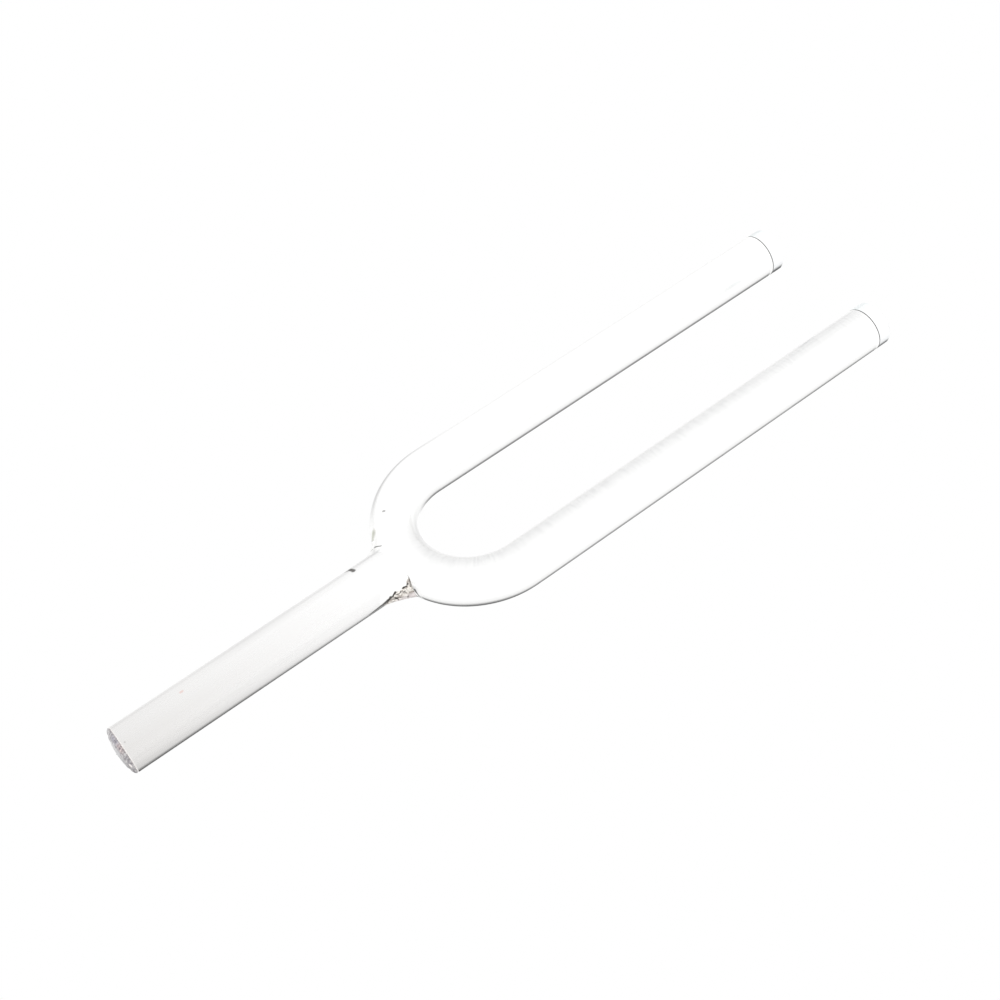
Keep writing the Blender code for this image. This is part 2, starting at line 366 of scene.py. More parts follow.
def make_weld(material):
    """The weld bead: a blend from the stem to the bend, flush above and below.

    Column by column round the stem, a curve leaves the stem along its side, turns
    in the corner and lands on the bend.  The low part of its -Y flank was left as
    welded, in lumps with crevices between them; the rest was dressed smooth.
    """
    cosines, sines = circle(WELD_ROUND)[1:]
    side = np.abs(cosines)
    right = cosines < 0
    stem_leg = np.where(right, *WELD_STEM_LEGS) * side ** STEM_LEG_POWER
    bend_leg = np.where(right, *WELD_BEND_LEGS) * side ** BEND_LEG_POWER
    bend_leg *= np.where(right, 1 + FULLER_BELOW * smooth_step(-0.1, 0.6, -sines), 1.0)
    pull = np.where(right, *WELD_PULLS)[:, None]
    ring = BEND_RADIUS + TUBE_RADIUS * side
    corner_turn = np.arcsin(TUBE_RADIUS * side / ring)
    height = TUBE_RADIUS * sines

    def on_bend(turn):
        across = ring * np.sin(turn) * np.sign(cosines)
        spot = np.stack([-ring * np.cos(turn), across, height], axis=-1)
        return spot + np.array([BEND_X, 0.0, AXIS_HEIGHT])

    corner = on_bend(corner_turn)
    bend_toe = on_bend(corner_turn + bend_leg / ring)
    stem_toe = corner.copy()
    stem_end = cope_x(cosines, sines, WELD_ROOT)
    stem_toe[:, 0] = np.minimum(corner[:, 0] - stem_leg, stem_end - WELD_OVERLAP)
    share = np.linspace(0.0, 1.0, WELD_ACROSS)[:, None, None]
    first = stem_toe + (corner - stem_toe) * pull
    second = bend_toe + (corner - bend_toe) * pull
    surface = (1 - share) ** 3 * stem_toe + 3 * (1 - share) ** 2 * share * first
    surface += 3 * (1 - share) * share ** 2 * second + share ** 3 * bend_toe
    outward = np.stack([-WELD_LEAN * side, cosines, sines], axis=-1)
    outward /= np.linalg.norm(outward, axis=-1, keepdims=True)
    relief, finish = weld_relief(surface)
    surface = surface + outward[None] * relief[..., None]
    back_share = np.linspace(0.0, 1.0, WELD_BACK)[:, None, None]
    back = surface[-1] + (surface[0] - surface[-1]) * back_share
    back = back - outward[None] * WELD_THICK * (0.5 + 0.5 * np.sin(math.pi * back_share))
    points = np.concatenate([surface, back])
    points[..., 2] = np.clip(points[..., 2], FORK_LOW.z, FORK_HIGH.z)
    piece = grid_piece("weld_bead_skin", points, points.copy(), "weld_bead", material)
    plain = np.zeros((WELD_BACK, WELD_ROUND, 3))
    write_vectors(piece.data, "weld_finish", np.concatenate([finish, plain]).reshape(-1, 3))


def rough_depth(surface):
    """How far below the dressed part's edge each point of the -Y flank lies, in metres."""
    x, y, z = surface[..., 0], surface[..., 1], surface[..., 2]
    past_stem = x - ROUGH_STEM_X
    edge = ROUGH_EDGE_Z + past_stem.clip(None, 0) + ROUGH_RISE * past_stem.clip(0, None)
    edge = edge + ROUGH_RISE_BEYOND * (x - ROUGH_BEND_X).clip(0, None)
    near_bend = smooth_step(ROUGH_BEND_X - ROUGH_DRAWN_FROM, ROUGH_BEND_X, x)
    beside = -y - (1 + ROUGH_DRAWN_BACK * near_bend) * TUBE_RADIUS
    beside = np.where(z > AXIS_HEIGHT, beside, 1.0)
    return np.minimum(edge - z, beside)


def weld_relief(surface):
    """Height of the weld's skin over the smooth blend, and its finish for the material.

    The finish is (how rough, how deep in a crevice, how low on the flank), each 0 to 1.
    """
    rows, columns = surface.shape[:2]
    crevice = np.zeros((rows, columns))
    lump = np.zeros((rows, columns))
    waver = np.zeros((rows, columns))
    for row in range(rows):
        for column in range(columns):
            place = Vector(surface[row, column]) * 1000
            slanted = Vector((place.x * 0.85 + place.z * 0.40, place.y * 0.5, place.z * 0.30))
            crack = abs(noise.noise(slanted + CREVICE_SEED))
            crevice[row, column] = 1.0 - min(crack / CREVICE_WIDTH, 1.0)
            lump[row, column] = noise.noise(place * 1.3) + 0.5 * noise.noise(place * 3.7)
            waver[row, column] = noise.noise(place * 0.8)
    depth = rough_depth(surface) + EDGE_WAVER * waver
    rough = smooth_step(-0.0001, 0.0004, depth)
    undercut = smooth_step(0.0, 0.0003, depth) * (1 - smooth_step(0.0003, 0.0009, depth))
    undercut *= (waver > -0.1) * (surface[..., 0] < ROUGH_BEND_X)
    crevice *= 1 - 0.75 * smooth_step(ROUGH_BEND_X - 0.0012, ROUGH_BEND_X + 0.0004, surface[..., 0])
    crevice = np.clip(np.maximum(crevice, undercut), 0.0, 1.0) * rough
    across = np.linspace(0.0, 1.0, rows)[:, None]
    ends = smooth_step(0.0, 0.05, across) * smooth_step(0.0, 0.05, 1 - across)
    relief = rough * (LUMP_HEIGHT * lump - CREVICE_DEPTH * crevice) * ends - WELD_SUNK * (1 - ends)
    low = smooth_step(0.0022, 0.0050, depth)
    return relief, np.stack([rough, crevice, low], axis=-1)


# ---------------------------------------------------------------- plugs

TINE_PLUG_ROUND = 128
STEM_PLUG_ROUND = 176
DOME_ROWS = 72
LATHE_DEPTH = 0.000006

# The stem plug's dome: heights of its relief, and where on the radius that fades.
SWIRL_HEIGHT = 0.00005
SWIRL_STEP = 0.0016
SWIRL_TURN = 2.4
DOME_LUMP = 0.00010
DOME_LUMP_SEED = Vector((3.0, 7.0, 1.0))
DOME_GRAIN = 0.00004
DOME_SUNK = 0.00012
DOME_FADE = (0.80, 0.92)


def turned_rows(profile, steps_per_edge):
    """Points along a turned profile, each edge cut into so many steps."""
    rows = []
    for start, end, steps in zip(profile, profile[1:], steps_per_edge):
        for step in range(steps):
            share = step / steps
            rows.append(tuple(a + (b - a) * share for a, b in zip(start, end)))
    rows.append(profile[-1])
    return np.array(rows)


def lathe_marks(radius):
    """Depth of the faint rings that facing on a lathe leaves on an end."""
    return LATHE_DEPTH * (0.5 + 0.5 * math.sin(radius * 2 * math.pi / FACING_STEP))


def make_tine_plug(name, node, side, material):
    """A flush plug: faced end with fine turning rings, chamfer, land, shoulder, spigot."""
    land_end = TINE_END_X + TINE_GAP
    spigot_end = TIP_LOW.x
    spigot = TUBE_RADIUS - WALL - FIT_GAP
    profile = [
        (0.0, TIP_X),
        (TUBE_RADIUS - PLUG_CHAMFER, TIP_X),
        (TUBE_RADIUS, TIP_X - PLUG_CHAMFER),
        (TUBE_RADIUS, land_end + PLUG_BREAK),
        (TUBE_RADIUS - PLUG_BREAK, land_end),
        (spigot, land_end),
        (spigot, spigot_end),
        (0.0, spigot_end),
    ]
    rows = turned_rows(profile, (48, 3, 16, 2, 3, 6, 3))
    cosines, sines = circle(TINE_PLUG_ROUND)[1:]
    points = np.zeros((len(rows), TINE_PLUG_ROUND, 3))
    for index, (radius, x) in enumerate(rows):
        faced = lathe_marks(radius) if x == TIP_X and radius > 0 else 0.0
        points[index, :, 0] = x - faced
        points[index, :, 1] = side * BEND_RADIUS + radius * cosines
        points[index, :, 2] = AXIS_HEIGHT + radius * sines
    metal_co = points - np.array([0.0, side * BEND_RADIUS, AXIS_HEIGHT])
    return capped_piece(name, points, metal_co, node, material)


def foot_relief(radius, angle):
    """Ridges and lumps on the stem plug's dome, none at its rim."""
    turn = angle + SWIRL_TURN * radius / TUBE_RADIUS
    place = Vector((radius * math.cos(turn), radius * math.sin(turn), 0.0)) * 1000
    swirl = math.sin(radius * 2 * math.pi / SWIRL_STEP + 1.5 * noise.noise(place * 0.35))
    lump = noise.noise(place * 0.55 + DOME_LUMP_SEED)
    grain = noise.noise(place * 2.4)
    inside = 1.0 - smooth_step(*DOME_FADE, radius / TUBE_RADIUS)
    return inside * (SWIRL_HEIGHT * swirl + DOME_LUMP * lump + DOME_GRAIN * grain - DOME_SUNK)


def make_stem_plug(material):
    """The stem's plug: a low, roughly dressed dome with a plain rim, shoulder and spigot."""
    shoulder = STEM_END_X - STEM_GAP
    spigot = TUBE_RADIUS - WALL - FIT_GAP
    angles, cosines, sines = circle(STEM_PLUG_ROUND)
    rows = []
    for step in range(DOME_ROWS + 1):
        slope = math.pi / 2 * step / DOME_ROWS
        rows.append((TUBE_RADIUS * math.sin(slope), shoulder - STEM_PLUG_CROWN * math.cos(slope)))
    dome_count = len(rows)
    rows += [(spigot, shoulder), (spigot, FOOT_HIGH.x), (0.0, FOOT_HIGH.x)]
    points = np.zeros((len(rows), STEM_PLUG_ROUND, 3))
    for index, (radius, x) in enumerate(rows):
        points[index, :, 0] = x
        points[index, :, 1] = radius * cosines
        points[index, :, 2] = AXIS_HEIGHT + radius * sines
        if 0 < index < dome_count:
            points[index, :, 0] -= [foot_relief(radius, angle) for angle in angles]
    points[0, :, 0] = FOOT_X
    metal_co = points - np.array([0.0, 0.0, AXIS_HEIGHT])
    return capped_piece("stem_plug_skin", points, metal_co, "stem_plug", material)


# ---------------------------------------------------------------- materials

class Nodes:
    """A short way to write the node tree of a material or of the world."""

    def __init__(self, tree):
        self.tree = tree

    @classmethod
    def of_material(cls, name, kind="ShaderNodeBsdfPrincipled"):
        """A new material's tree, with one shader of this kind and the metal's own place."""
        material = bpy.data.materials.new(name)
        material.use_nodes = True
        nodes = cls(material.node_tree)
        nodes.material = material
        nodes.tree.nodes.clear()
        output = nodes.tree.nodes.new("ShaderNodeOutputMaterial")
        nodes.shader = nodes.tree.nodes.new(kind)
        nodes.link(nodes.shader.outputs[0], output.inputs["Surface"])
        place = nodes.tree.nodes.new("ShaderNodeAttribute")
        place.attribute_name = "metal_co"
        nodes.place = place.outputs["Vector"]
        return nodes

    def link(self, output, socket):
        self.tree.links.new(output, socket)

    def stretched(self, scale):
        """The metal's own place, scaled along, across and through it."""
        mapping = self.tree.nodes.new("ShaderNodeMapping")
        mapping.inputs["Scale"].default_value = scale
        self.link(self.place, mapping.inputs["Vector"])
        return mapping.outputs["Vector"]

    def noise(self, scale, detail=3.0, roughness=0.55):
        texture = self.tree.nodes.new("ShaderNodeTexNoise")
        texture.inputs["Scale"].default_value = 1.0
        texture.inputs["Detail"].default_value = detail
        texture.inputs["Roughness"].default_value = roughness
        self.link(self.stretched(scale), texture.inputs["Vector"])
        return texture.outputs["Fac"]

    def specks(self, scale, size, share):
        """Sparse round spots: 1 inside a spot and 0 outside."""
        cells = self.tree.nodes.new("ShaderNodeTexVoronoi")
        cells.inputs["Scale"].default_value = 1.0
        self.link(self.stretched(scale), cells.inputs["Vector"])
        near = self.remap(cells.outputs["Distance"], size, size * 0.5)
        split = self.tree.nodes.new("ShaderNodeSeparateColor")
        self.link(cells.outputs["Color"], split.inputs["Color"])
        chosen = self.remap(split.outputs["Red"], 1 - share, 1 - share + 0.001)
        return self.math("MULTIPLY", near, chosen)

    def remap(self, value, low, high, to_low=0.0, to_high=1.0, smooth=False):
        node = self.tree.nodes.new("ShaderNodeMapRange")
        node.interpolation_type = "SMOOTHSTEP" if smooth else "LINEAR"
        self.link(value, node.inputs["Value"])
        names = ("From Min", "From Max", "To Min", "To Max")
        for name, number in zip(names, (low, high, to_low, to_high)):
            node.inputs[name].default_value = number
        return node.outputs["Result"]

    def math(self, operation, *values):
        node = self.tree.nodes.new("ShaderNodeMath")
        node.operation = operation
        for socket, value in zip(node.inputs, values):
            if isinstance(value, (int, float)):
                socket.default_value = value
            else:
                self.link(value, socket)
        return node.outputs["Value"]

    def product(self, first, *others):
        for other in others:
            first = self.math("MULTIPLY", first, other)
        return first

    def rest(self, share):
        """What a share leaves of one."""
        return self.math("SUBTRACT", 1.0, share)

    def vector(self, operation, *values):
        node = self.tree.nodes.new("ShaderNodeVectorMath")
        node.operation = operation
        for socket, value in zip(node.inputs, values):
            if isinstance(value, Vector):
                socket.default_value = value
            else:
                self.link(value, socket)
        return node.outputs["Value" if operation in ("DOT_PRODUCT", "LENGTH") else "Vector"]

    def mark(self, start, end, radius, taper=1.0, blur=0.5):
        """A soft-edged streak on the metal: 1 inside and 0 outside, thinner towards its end."""
        here = self.tree.nodes.new("ShaderNodeNewGeometry").outputs["Position"]
        course = end - start
        from_start = self.vector("SUBTRACT", here, start)
        along = self.vector("DOT_PRODUCT", from_start, course)
        share = self.math("DIVIDE", along, course.length_squared)
        share = self.math("MINIMUM", self.math("MAXIMUM", share, 0.0), 1.0)
        nearest = self.tree.nodes.new("ShaderNodeVectorMath")
        nearest.operation = "SCALE"
        nearest.inputs[0].default_value = course
        self.link(share, nearest.inputs["Scale"])
        away = self.vector("SUBTRACT", from_start, nearest.outputs["Vector"])
        distance = self.vector("LENGTH", away)
        reach = self.remap(share, 0.0, 1.0, radius, radius * taper)
        ratio = self.math("DIVIDE", distance, reach)
        return self.remap(ratio, 1.0 - blur, 1.0 + blur, 1.0, 0.0, smooth=True)

    def stain(self, colour, tint, strength, *streak, **shape):
        return self.mix(self.math("MULTIPLY", self.mark(*streak, **shape), strength), colour, tint)

    def tint(self, colour, tint, share):
        """The colour, multiplied by a tint in this share."""
        node = self.tree.nodes.new("ShaderNodeMix")
        node.data_type = "RGBA"
        node.blend_type = "MULTIPLY"
        self.link(share, node.inputs["Factor"])
        self.link(colour, node.inputs["A"])
        node.inputs["B"].default_value = (*tint, 1.0)
        return node.outputs["Result"]

    def light_path(self, question):
        return self.tree.nodes.new("ShaderNodeLightPath").outputs[question]

    def parts(self, vector):
        split = self.tree.nodes.new("ShaderNodeSeparateXYZ")
        self.link(vector, split.inputs["Vector"])
        return [split.outputs[axis] for axis in "XYZ"]

    def hypot(self, first, second):
        squares = [self.math("MULTIPLY", value, value) for value in (first, second)]
        return self.math("SQRT", self.math("ADD", *squares))

    def mix(self, share, first, second):
        """A colour between two; each is a triple or a socket."""
        node = self.tree.nodes.new("ShaderNodeMix")
        node.data_type = "RGBA"
        self.link(share, node.inputs["Factor"])
        for socket, colour in zip((node.inputs["A"], node.inputs["B"]), (first, second)):
            if isinstance(colour, tuple):
                socket.default_value = (*colour, 1.0)
            else:
                self.link(colour, socket)
        return node.outputs["Result"]

    def finish(self, colour, roughness, height, bump_distance, bump_strength, metallic=None):
        self.shader.inputs["Metallic"].default_value = 1.0
        if metallic is not None:
            self.link(metallic, self.shader.inputs["Metallic"])
        self.link(colour, self.shader.inputs["Base Color"])
        self.link(roughness, self.shader.inputs["Roughness"])
        bump = self.tree.nodes.new("ShaderNodeBump")
        bump.inputs["Distance"].default_value = bump_distance
        bump.inputs["Strength"].default_value = bump_strength
        self.link(height, bump.inputs["Height"])
        self.link(bump.outputs["Normal"], self.shader.inputs["Normal"])
        return self.material


# Colours.  A pair is the two ends of a mix.
FORK_METAL = ((0.94, 0.94, 0.935), (0.97, 0.97, 0.965))
FORK_PAINTED_SHADE = (0.75, 0.75, 0.755)
FORK_NICK = (0.3, 0.29, 0.27)
STEM_METAL = ((0.882, 0.879, 0.876), (0.895, 0.893, 0.892))
STEM_FOOT_PAINTED_SHADE = (0.82, 0.815, 0.808)
STEM_NEAR_PAINTED_SHADE = (0.955, 0.95, 0.945)
STEM_FAR_PAINTED_SHADE = (0.91, 0.91, 0.91)
STEM_NICK = (0.3, 0.28, 0.26)
STEM_EDGE = (0.95, 0.92, 0.90)
WELD_DRESSED = ((0.92, 0.92, 0.91), (0.96, 0.96, 0.955))
WELD_RAW = ((0.42, 0.38, 0.35), (0.90, 0.87, 0.82))
WELD_LOW_PAINTED_LIGHT = (0.80, 0.74, 0.74)
PLUG_METAL = ((0.90, 0.91, 0.92), (0.93, 0.94, 0.945))
PLUG_FAR_PAINTED_SHADE = (0.86, 0.89, 0.89)
PLUG_SHADE_STRIP = (0.40, 0.40, 0.40)
PLUG_FACE = ((0.66, 0.67, 0.68), (0.82, 0.83, 0.84))
DOME_PATCHES = ((0.42, 0.41, 0.42), (0.58, 0.57, 0.57))
DOME_BLUE = (0.36, 0.35, 0.41)
DOME_ROSE = (0.62, 0.50, 0.48)
DOME_STROKE = (0.20, 0.18, 0.20)
DOME_GLINT = (0.92, 0.88, 0.85)
DOME_RIM_GLINT = (0.98, 0.93, 0.90)
DOME_MIDDLE = (0.74, 0.74, 0.745)
SOOT_AND_SHADE = (0.05, 0.045, 0.04)
OLIVE = (0.22, 0.24, 0.12)
BROWN = (0.30, 0.22, 0.17)
ROSE = (0.72, 0.50, 0.46)

# Places of the weld's marks: a dash on the +Y side, a spike and a dark streak at the toe on the -Y
# side.
DASH_START = Vector((-0.0435, 0.0081, 0.0125))
DASH_END = Vector((-0.0421, 0.0058, 0.0143))
FAINT_START = DASH_START + Vector((-0.0013, 0.0004, -0.0011))
FAINT_END = FAINT_START + Vector((0.0005, -0.0004, 0.0004))
SPIKE_TOP = Vector((-0.0420, -0.0083, 0.0131))
SPIKE_BEND = Vector((-0.0424, -0.0097, 0.0120))
SPIKE_FOOT = Vector((-0.0429, -0.0107, 0.0103))
DARK_TOE = Vector((-0.0529, -0.0080, 0.0064))
DARK_TAIL = DARK_TOE + Vector((-0.0050, 0.0004, -0.0005))
DARK_HEAD = Vector((-0.0507, -0.0087, 0.0080))

# Painted shade in the undercuts of the weld's raw flank, drawn black: upper end, length and half width.
STROKE_LEAN = Vector((-0.0011, 0.0003, -0.0011))
STROKES = (
    (Vector((-0.0434, -0.0098, 0.0112)), 0.9, 0.00032),
    (Vector((-0.0451, -0.0099, 0.0092)), 1.3, 0.00040),
    (Vector((-0.0479, -0.0091, 0.0100)), 0.9, 0.00040),
    (Vector((-0.0497, -0.0088, 0.0088)), 1.0, 0.00055),
)


def drawn_metal(nodes, dark, light, smoothest):
    """Colour, roughness and relief of drawn tube: lengthwise lines, soft clouds of handling.

    Noise scales, here and below, are per metre along, across and through the metal.
    """
    lines = nodes.noise((45.0, 5200.0, 5200.0), 4.0, 0.6)
    bands = nodes.noise((14.0, 900.0, 900.0), 2.0)
    clouds = nodes.noise((90.0, 160.0, 160.0), 3.0)
    tone = nodes.math("ADD", nodes.product(lines, 0.6), nodes.product(bands, 0.4))
    colour = nodes.mix(nodes.remap(tone, 0.35, 0.65), dark, light)
    colour = nodes.mix(nodes.remap(clouds, 0.52, 0.75, 0.0, 0.25), colour, dark)
    roughness = nodes.math("ADD", smoothest, nodes.remap(lines, 0.3, 0.7, -0.03, 0.04))
    roughness = nodes.math("ADD", roughness, nodes.remap(clouds, 0.4, 0.7, 0.0, 0.05))
    height = nodes.math("ADD", lines, nodes.product(bands, 0.6))
    return colour, roughness, height


def fork_aluminium():
    """The fork's tube: bright, with painted shade on the inside of the bend and the -Y tine,
    dark marks and a painted undercut shade round the joint, a few nicks and darker cut ends."""
    nodes = Nodes.of_material("fork_metal")
    colour, roughness, height = drawn_metal(nodes, *FORK_METAL, 0.20)
    station, outward = nodes.parts(nodes.place)[:2]
    # Painted shade on the inside of the bend and the -Y tine, where the other tine and the floor
    # between the tines shade the metal.
    colour = nodes.tint(colour, FORK_PAINTED_SHADE, inner_painted_shade(nodes, station, outward))
    nicks = nodes.specks((420.0, 420.0, 420.0), 0.16, 0.003)
    colour = nodes.mix(nodes.product(nicks, 0.7), colour, FORK_NICK)
    dot = fork_point(DOT_STATION, 74)
    colour = nodes.stain(colour, SOOT_AND_SHADE, 0.55, dot, dot + Vector((0.0003, -0.0003, 0)), 0.00042)
    # An olive spot, darker than the metal round it, on the bend's outer edge.
    olive_spot = (fork_point(OLIVE_SPOT_STATION, 34), fork_point(OLIVE_SPOT_STATION + 0.0018, 14))
    colour = nodes.stain(colour, OLIVE, 0.55, *olive_spot, 0.0012, taper=0.7, blur=0.8)
    # Painted shade in an undercut on the bend beside the weld's toe, drawn black.
    undercut = (fork_point(UNDERCUT_SHADE_STATION, 9), fork_point(UNDERCUT_SHADE_STATION + 0.0012, -17))
    colour = nodes.stain(colour, SOOT_AND_SHADE, 0.85, *undercut, 0.0005, taper=0.35)
    from_end = nodes.math("MINIMUM", station, nodes.math("SUBTRACT", FORK_LENGTH, station))
    uncut = nodes.remap(from_end, CUT_EDGE, CUT_EDGE * 1.3, 0.15, 1.0)
    scale = (fork_point(SCALE_STATION, -6), fork_point(SCALE_STATION + 0.0008, -22))
    metallic = nodes.math("SUBTRACT", uncut, nodes.mark(*scale, 0.0009))
    height = nodes.math("SUBTRACT", height, nicks)
    return nodes.finish(colour, roughness, height, 0.000012, 0.5, metallic)


def inner_painted_shade(nodes, station, outward):
    """Where the painted shade is: the inner side, from the bend on, with fine ticks across it."""
    widens = [INNER_SHADE_STATION + distance for distance in INNER_SHADE_WIDENS]
    held_back = nodes.remap(station, *widens, 0.75 * TUBE_RADIUS, 0.0)
    outward = nodes.math("ADD", outward, held_back)
    inner = nodes.remap(outward, 0.42 * TUBE_RADIUS, -0.45 * TUBE_RADIUS)
    thin = nodes.remap(outward, -0.35 * TUBE_RADIUS, -0.80 * TUBE_RADIUS, 1.0, 0.45)
    past = nodes.remap(station, INNER_SHADE_STATION, INNER_SHADE_STATION + INNER_SHADE_RISE, smooth=True)
    ticks = nodes.remap(nodes.noise((1200.0, 160.0, 160.0), 2.0), 0.46, 0.66, 0.92, 1.15)
    painted_shade = nodes.product(inner, thin, past, ticks, nodes.light_path("Is Camera Ray"))
    return nodes.math("MINIMUM", painted_shade, 1.0)


def stem_aluminium():
    """The stem's tube: painted shade towards the foot and on its near and far sides, dark marks by the
    weld.
    """
    nodes = Nodes.of_material("stem_metal")
    bright, roughness, height = drawn_metal(nodes, *STEM_METAL, 0.26)
    x, y = nodes.parts(nodes.place)[:2]
    # Painted shade: the stem darker towards the foot, where the light falls off.
    foot_shade = nodes.remap(x, STEM_END_X, JOINT_X - FOOT_SHADE_FROM_JOINT, 1.0, 0.0)
    colour = nodes.tint(bright, STEM_FOOT_PAINTED_SHADE, foot_shade)
    # Painted shade on the stem's near (-Y) side, towards the foot.
    near_shaded_side = nodes.remap(y, 0.0, -0.6 * TUBE_RADIUS)
    colour = nodes.tint(colour, STEM_NEAR_PAINTED_SHADE, nodes.product(near_shaded_side, foot_shade))
    # Painted shade on the stem's far (+Y) side, from partway along the stem to the joint.
    far_shaded_side = nodes.remap(y, 0.05 * TUBE_RADIUS, 0.5 * TUBE_RADIUS)
    far_side_shade = nodes.product(far_shaded_side, nodes.remap(x, *STEM_FAR_SHADE_X))
    colour = nodes.tint(colour, STEM_FAR_PAINTED_SHADE, far_side_shade)
    nicks = nodes.specks((420.0, 420.0, 420.0), 0.16, 0.004)
    colour = nodes.mix(nodes.product(nicks, 0.4), colour, STEM_NICK)
    blob = (stem_point(BLOB_X, 69), stem_point(BLOB_X - 0.0004, 52))
    colour = nodes.stain(colour, SOOT_AND_SHADE, 0.88, *blob, 0.0007, taper=0.8)
    tail = (stem_point(BLOB_X - 0.0004, 56), stem_point(BLOB_X - 0.0022, 48))
    colour = nodes.stain(colour, SOOT_AND_SHADE, 0.8, *tail, 0.0006, taper=0.2)
    fleck = stem_point(FLECK_X, 88)
    colour = nodes.stain(colour, ROSE, 0.6, fleck, fleck + Vector((0.0006, 0, 0)), 0.0004)
    # A dark streak along the stem's lower edge at the weld's toe, running on into the weld.
    colour = nodes.stain(colour, SOOT_AND_SHADE, 0.9, DARK_TOE, DARK_TAIL, 0.0006, taper=0.3)
    # A black dot at the foot end of the stem's lower edge.
    foot_dot = stem_point(STEM_END_X + 0.0003, 203)
    colour = nodes.stain(colour, SOOT_AND_SHADE, 0.95, foot_dot, foot_dot + Vector((0.0004, 0, 0)), 0.0005)
    chamfer = STEM_CHAMFER[0]
    metallic = nodes.remap(x, STEM_END_X + chamfer, STEM_END_X + 1.2 * chamfer)
    colour = nodes.mix(metallic, STEM_EDGE, colour)
    height = nodes.math("SUBTRACT", height, nicks)
    return nodes.finish(colour, roughness, height, 0.000008, 0.28, metallic)


def shaded_undercuts_and_marks(nodes, colour):
    """Painted shade in the undercuts of the weld's raw flank, drawn black, each down and back from its
    upper end; then the dark streak at the toe and the spike.
    """
    for upper, length, width in STROKES:
        lower = upper + STROKE_LEAN * length
        # Painted shade in the undercut, drawn black.
        colour = nodes.stain(colour, SOOT_AND_SHADE, 0.95, upper, lower, width, taper=0.6)
    # The same dark streak, on the weld.
    colour = nodes.stain(colour, SOOT_AND_SHADE, 0.95, DARK_HEAD, DARK_TOE, 0.0006)
    colour = nodes.stain(colour, SOOT_AND_SHADE, 0.65, SPIKE_FOOT, SPIKE_BEND, 0.00022, taper=0.8, blur=0.8)
    return nodes.stain(colour, SOOT_AND_SHADE, 0.65, SPIKE_BEND, SPIKE_TOP, 0.00020, taper=0.5, blur=0.8)


def weld_aluminium():
    """Dressed parts like the tubes beside them; the raw part lumpy, with painted shade in its crevices
    and a lighter, pinkish lower flank painted as a reflection of the bright floor.
    """
    nodes = Nodes.of_material("weld_metal")
    finish = nodes.tree.nodes.new("ShaderNodeAttribute")
    finish.attribute_name = "weld_finish"
    rough, crevice, low = nodes.parts(finish.outputs["Vector"])
    grain = nodes.noise((3200.0, 3200.0, 3200.0), 4.0, 0.65)
    patches = nodes.noise((700.0, 700.0, 700.0), 3.0)
    file_marks = nodes.noise((600.0, 2600.0, 2600.0), 3.0)
    filed = nodes.remap(file_marks, 0.35, 0.65)
    dressed = nodes.mix(filed, *WELD_DRESSED)
    raw = nodes.mix(nodes.remap(patches, 0.42, 0.56), *WELD_RAW)
    raw = nodes.mix(nodes.remap(grain, 0.50, 0.68, 0.0, 0.5), raw, BROWN)
    # Painted reflection of the bright floor: the raw flank lighter and pinkish low down.
    raw = nodes.mix(nodes.product(low, 0.8), raw, WELD_LOW_PAINTED_LIGHT)
    # Painted shade in the crevices, drawn black.
    raw = nodes.mix(nodes.remap(crevice, 0.10, 0.60, smooth=True), raw, SOOT_AND_SHADE)
    dressed = nodes.stain(dressed, SOOT_AND_SHADE, 0.8, DASH_START, DASH_END, 0.00033, taper=0.6)
    dressed = nodes.stain(dressed, SOOT_AND_SHADE, 0.5, FAINT_START, FAINT_END, 0.0004)
    colour = shaded_undercuts_and_marks(nodes, nodes.mix(rough, dressed, raw))
    added = nodes.product(rough, nodes.remap(grain, 0.3, 0.7, 0.08, 0.3))
    roughness = nodes.math("ADD", 0.2, added)
    height = nodes.product(grain, nodes.remap(rough, 0.0, 1.0, 0.15, 1.0))
    metallic = nodes.remap(rough, 0.0, 1.0, 1.0, 0.6)
    return nodes.finish(colour, roughness, height, 0.00006, 0.6, metallic)


